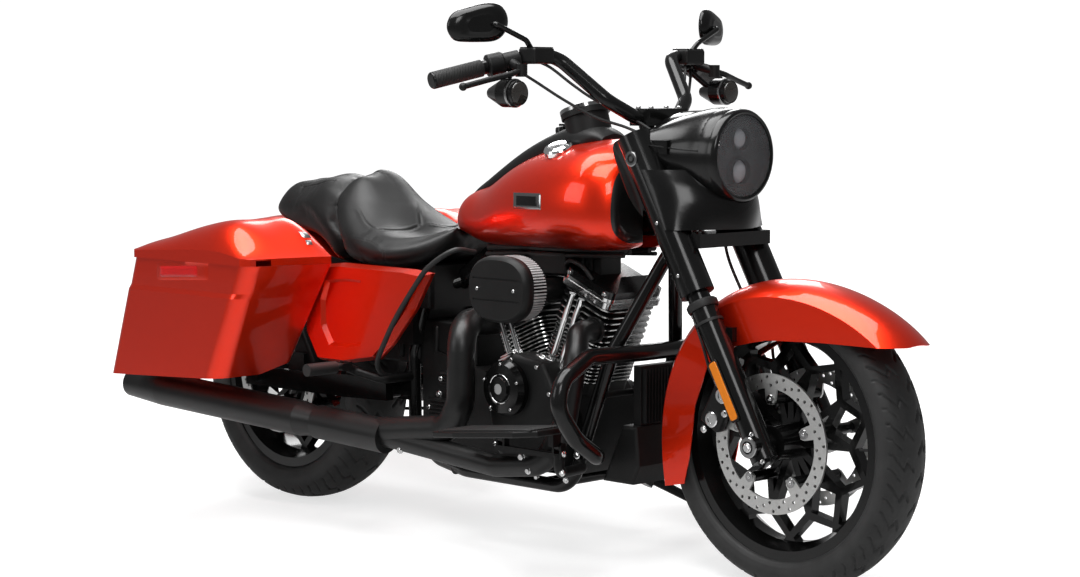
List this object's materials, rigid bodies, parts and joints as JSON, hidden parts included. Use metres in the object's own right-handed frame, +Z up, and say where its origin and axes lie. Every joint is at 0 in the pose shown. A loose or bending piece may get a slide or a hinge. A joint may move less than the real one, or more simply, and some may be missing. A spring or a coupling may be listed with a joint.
{
  "type": "touring cruiser motorcycle",
  "caption": "Two-wheeled touring cruiser with a finned vee engine, teardrop tank, two-up seat, hard saddlebags with hinged lids, nacelle headlamp, cast lattice wheels and a side stand.",
  "frame": {"origin": "on the ground at the middle of the machine's bounding box, as it leans on its side stand", "axes": "+X forward, +Y to the rider's left, +Z up; the machine leans 7 degrees towards +Y"},
  "size_m": [2.4428, 1.0189, 1.288],
  "materials": {
    "paint": "metallic orange red paint",
    "black_gloss": "gloss black",
    "black_satin": "satin black",
    "chrome": "polished chrome",
    "disc_steel": "brushed stainless steel",
    "filter": "pleated filter cloth",
    "tyre": "black rubber",
    "rubber": "black rubber",
    "leather": "black grained leather",
    "plastic": "textured black plastic",
    "pulley": "dark machined aluminium",
    "lamp_glass": "clear lens over a reflector",
    "lamp_red": "red lens"
  },
  "bodies": {
    "chassis": {"frame": "black_satin", "crankcase": "black_satin", "cylinders": "black_satin", "cylinder_heads": "black_satin", "rocker_boxes": "black_gloss", "pushrod_tubes": "chrome", "cam_cover": "black_gloss", "primary_cover": "black_gloss", "air_filter": "filter", "air_cleaner_cover": "black_satin", "exhaust_headers": "black_satin", "mufflers": "black_satin", "swingarm": "black_gloss", "rear_caliper": "black_gloss", "drive_belt": "rubber", "rear_fender": "paint", "tail_lamp": "lamp_red", "fender_struts": "black_gloss", "fuel_tank": "paint", "tank_console": "black_gloss", "fuel_cap": "chrome", "seat_rider": "leather", "seat_pillion": "leather", "battery_tray": "plastic", "side_covers": "paint", "saddlebag_right": "paint", "saddlebag_left": "paint", "oil_cooler": "black_satin", "chin_cover": "plastic", "engine_guard": "black_gloss", "board_brackets": "black_satin", "peg_brackets": "black_satin"},
    "steering": {"fork_clamps": "black_gloss", "fork_legs": "black_gloss", "nacelle": "black_gloss", "headlamp": "lamp_glass", "handlebar": "black_gloss", "grips": "rubber", "hand_controls": "black_gloss", "front_signals": "black_gloss", "mirrors": "black_gloss", "front_fender": "paint", "front_calipers": "black_gloss"},
    "front_wheel": {"front_tyre": "tyre", "front_rim": "black_gloss", "front_discs": "disc_steel"},
    "rear_wheel": {"rear_tyre": "tyre", "rear_rim": "black_gloss", "rear_disc": "disc_steel", "rear_pulley": "pulley"},
    "lid_right": {"bag_lid_right": "paint"},
    "lid_left": {"bag_lid_left": "paint"},
    "board_right": {"footboard_right": "rubber"},
    "board_left": {"footboard_left": "rubber"},
    "peg_right": {"passenger_peg_right": "rubber"},
    "peg_left": {"passenger_peg_left": "rubber"},
    "side_stand": {"side_stand": "black_satin"}
  },
  "joints": [
    {"name": "steering_turn", "type": "hinge", "parent": "chassis", "child": "steering", "pos_m": [0.65631, -0.00163, 0.83496], "axis": [-0.4384, 0.1095, 0.8921], "range_deg": [-34, 34]},
    {"name": "front_wheel_spin", "type": "hinge", "parent": "steering", "child": "front_wheel", "pos_m": [0.896, -0.06512, 0.31784], "axis": [0, 0.9925, -0.1219], "continuous": true},
    {"name": "rear_wheel_spin", "type": "hinge", "parent": "chassis", "child": "rear_wheel", "pos_m": [-0.729, -0.06408, 0.32638], "axis": [0, 0.9925, -0.1219], "continuous": true},
    {"name": "side_stand_swing", "type": "hinge", "parent": "chassis", "child": "side_stand", "pos_m": [0.319, 0.085, 0.12914], "axis": [0.1007, 0.5821, 0.8068], "range_deg": [0, 100]},
    {"name": "lid_right_open", "type": "hinge", "parent": "chassis", "child": "lid_right", "pos_m": [-0.629, -0.48035, 0.69425], "axis": [1, 0, 0], "range_deg": [0, 65]},
    {"name": "lid_left_open", "type": "hinge", "parent": "chassis", "child": "lid_left", "pos_m": [-0.629, 0.42883, 0.58262], "axis": [-1, 0, 0], "range_deg": [0, 65]},
    {"name": "board_right_fold", "type": "hinge", "parent": "chassis", "child": "board_right", "pos_m": [0.36, -0.32931, 0.31603], "axis": [-1, 0, 0], "range_deg": [0, 40]},
    {"name": "board_left_fold", "type": "hinge", "parent": "chassis", "child": "board_left", "pos_m": [0.36, 0.19078, 0.25217], "axis": [1, 0, 0], "range_deg": [0, 40]},
    {"name": "peg_right_fold", "type": "hinge", "parent": "chassis", "child": "peg_right", "pos_m": [-0.289, -0.31554, 0.42818], "axis": [-1, 0, 0], "range_deg": [0, 80]},
    {"name": "peg_left_fold", "type": "hinge", "parent": "chassis", "child": "peg_left", "pos_m": [-0.289, 0.20455, 0.36432], "axis": [1, 0, 0], "range_deg": [0, 80]}
  ]
}
